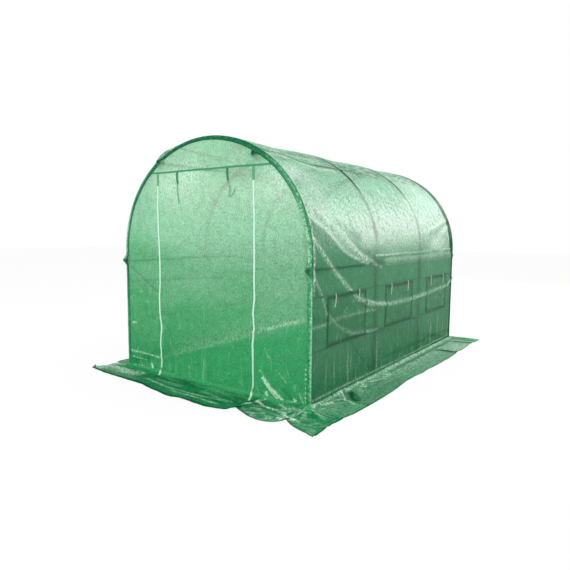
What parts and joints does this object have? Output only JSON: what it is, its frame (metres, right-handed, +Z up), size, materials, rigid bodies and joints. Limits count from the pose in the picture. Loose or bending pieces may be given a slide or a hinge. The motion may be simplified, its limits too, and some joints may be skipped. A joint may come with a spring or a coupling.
{
  "type": "polytunnel greenhouse",
  "caption": "Walk-in polytunnel greenhouse: steel hoop frame under a green film cover with a zipped door end, side windows and a ground skirt.",
  "frame": {"origin": "on the ground at the centre of the whole footprint, skirts included", "axes": "+X to the right seen from the door end, +Y along the tunnel from the door end to the plain end, +Z up"},
  "size_m": [2.56, 3.58, 1.9796],
  "materials": {
    "frame_steel": "galvanised, satin",
    "joint_steel": "galvanised, dull",
    "cap_plastic": "black, matt",
    "roof_film": "translucent reinforced film, glossy",
    "end_film": "translucent reinforced film, glossy",
    "hem_film": "doubled film over the tube, glossy",
    "flap_film": "translucent reinforced film, glossy",
    "skirt_film": "reinforced film lying on the ground, glossy",
    "net": "fine woven net",
    "seam_webbing": "flat webbing",
    "zip_tape": "white zip tape",
    "garage_film": "green patch",
    "strap_webbing": "flat green webbing",
    "tie_tape": "pale flat tape"
  },
  "bodies": {
    "root": {"door_panel": "end_film", "door_skirt": "skirt_film", "front_arch": "frame_steel", "front_hem": "hem_film", "front_left_panel": "end_film", "front_left_skirt": "skirt_film", "front_right_panel": "end_film", "front_right_skirt": "skirt_film", "front_top_panel": "end_film", "header_band": "seam_webbing", "left_brace": "frame_steel", "left_cross_joints": "joint_steel", "left_door_strap": "strap_webbing", "left_haunch": "roof_film", "left_legs": "frame_steel", "left_roof_clips": "joint_steel", "left_roof_rail": "frame_steel", "left_side_panel": "roof_film", "left_side_rails": "frame_steel", "left_skirt": "skirt_film", "left_window_flaps": "flap_film", "left_window_meshes": "net", "left_window_seams": "seam_webbing", "left_window_ties": "tie_tape", "left_zip": "zip_tape", "rail_end_caps": "cap_plastic", "rear_arch": "frame_steel", "rear_hem": "hem_film", "rear_skirt": "skirt_film", "rear_wall": "end_film", "right_brace": "frame_steel", "right_cross_joints": "joint_steel", "right_door_strap": "strap_webbing", "right_haunch": "roof_film", "right_legs": "frame_steel", "right_roof_clips": "joint_steel", "right_roof_rail": "frame_steel", "right_side_panel": "roof_film", "right_side_rails": "frame_steel", "right_skirt": "skirt_film", "right_window_flaps": "flap_film", "right_window_meshes": "net", "right_window_seams": "seam_webbing", "right_window_ties": "tie_tape", "right_zip": "zip_tape", "roof_crown": "roof_film", "second_arch": "frame_steel", "strap_toggles": "strap_webbing", "third_arch": "frame_steel", "zip_garages": "garage_film"}
  },
  "joints": []
}
